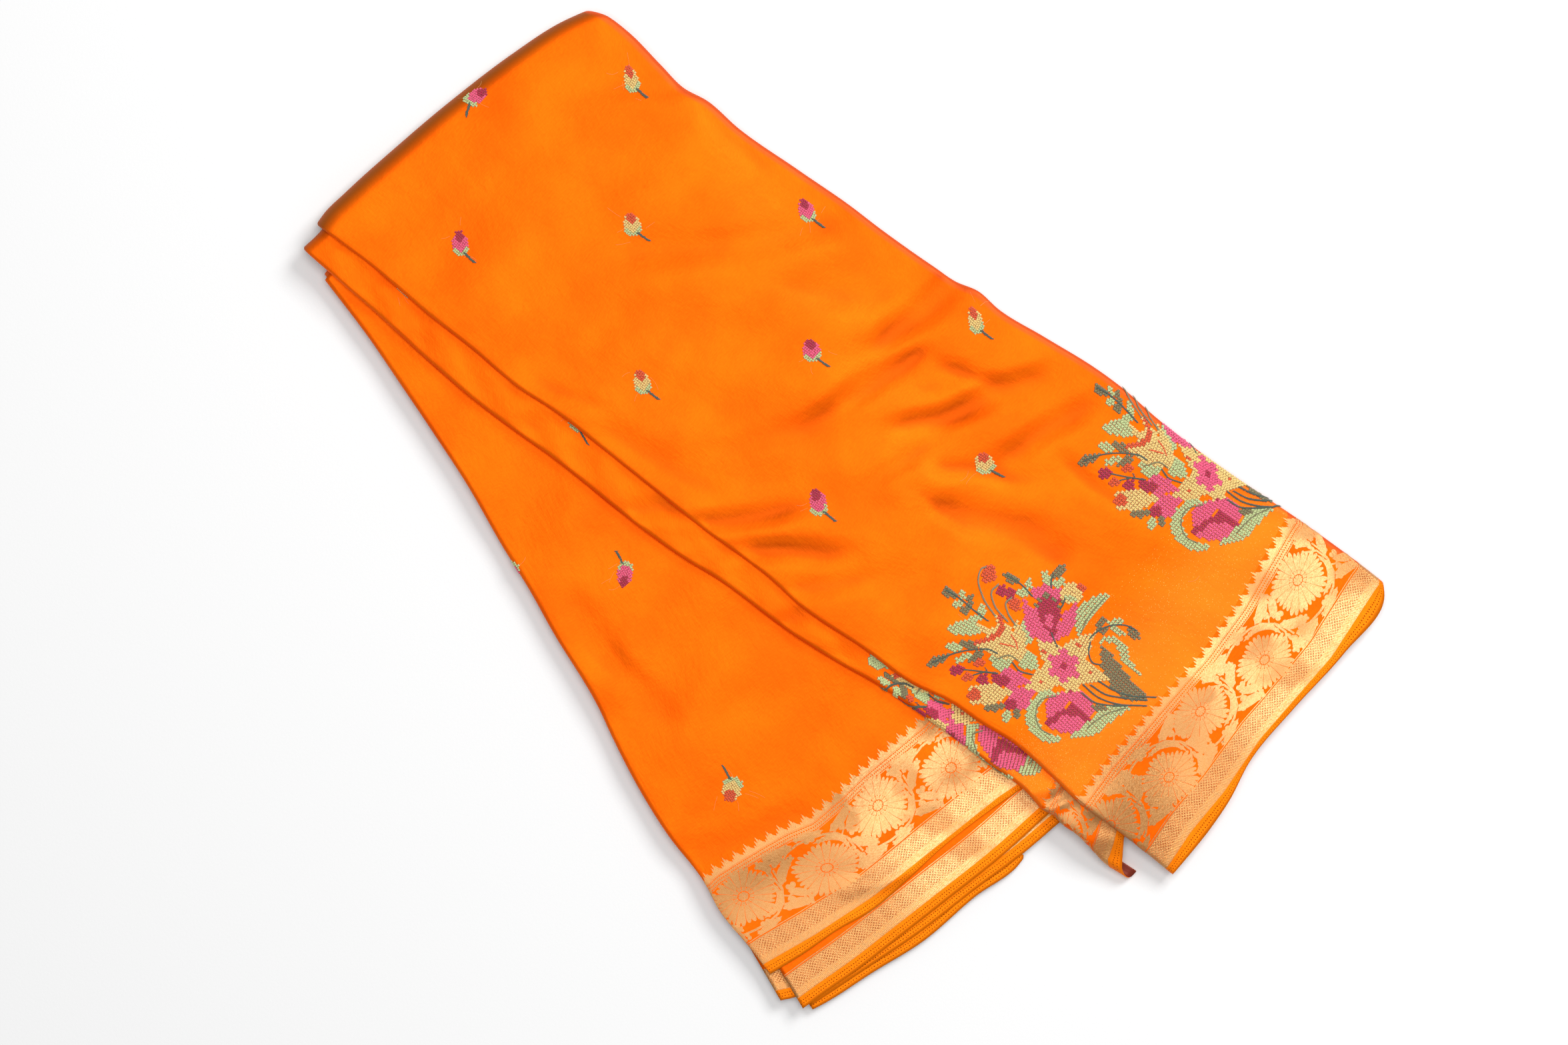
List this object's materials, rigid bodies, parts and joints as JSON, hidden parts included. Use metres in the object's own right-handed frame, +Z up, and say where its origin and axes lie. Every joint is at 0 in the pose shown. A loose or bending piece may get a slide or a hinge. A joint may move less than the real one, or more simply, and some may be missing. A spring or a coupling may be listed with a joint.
{
  "type": "folded sari",
  "caption": "Orange sari folded in half and pleated into a flat fanned stack, with a woven gold border and cross-stitched flowers.",
  "frame": {"origin": "centre of the bounding box's bottom face, on the surface that the folded sari lies on", "axes": "+Z up, +Y from the border end to the mid fold along the top panel's long edge, +X across the pleats, away from the fanned lower half"},
  "size_m": [0.3675, 0.5663, 0.0217],
  "materials": {
    "satin_cloth": "orange satin silk blend, soft sheen, with a woven gold border, plain selvedge and cross-stitched flowers",
    "hidden_cloth": "orange satin silk blend, seen only at the folded edges of the stack",
    "stitch_thread": "cross-stitch in cotton thread: cream, pink, magenta, red-orange, mint and grey-green",
    "zari_thread": "woven pale gold metallic thread"
  },
  "bodies": {
    "root": {"top_stretch": "satin_cloth", "second_stretch": "satin_cloth", "lower_stretch_1": "satin_cloth", "lower_stretch_2": "satin_cloth", "lower_stretch_3": "satin_cloth", "lower_stretch_4": "satin_cloth", "lower_stretch_5": "satin_cloth", "hidden_layers": "hidden_cloth"}
  },
  "joints": []
}
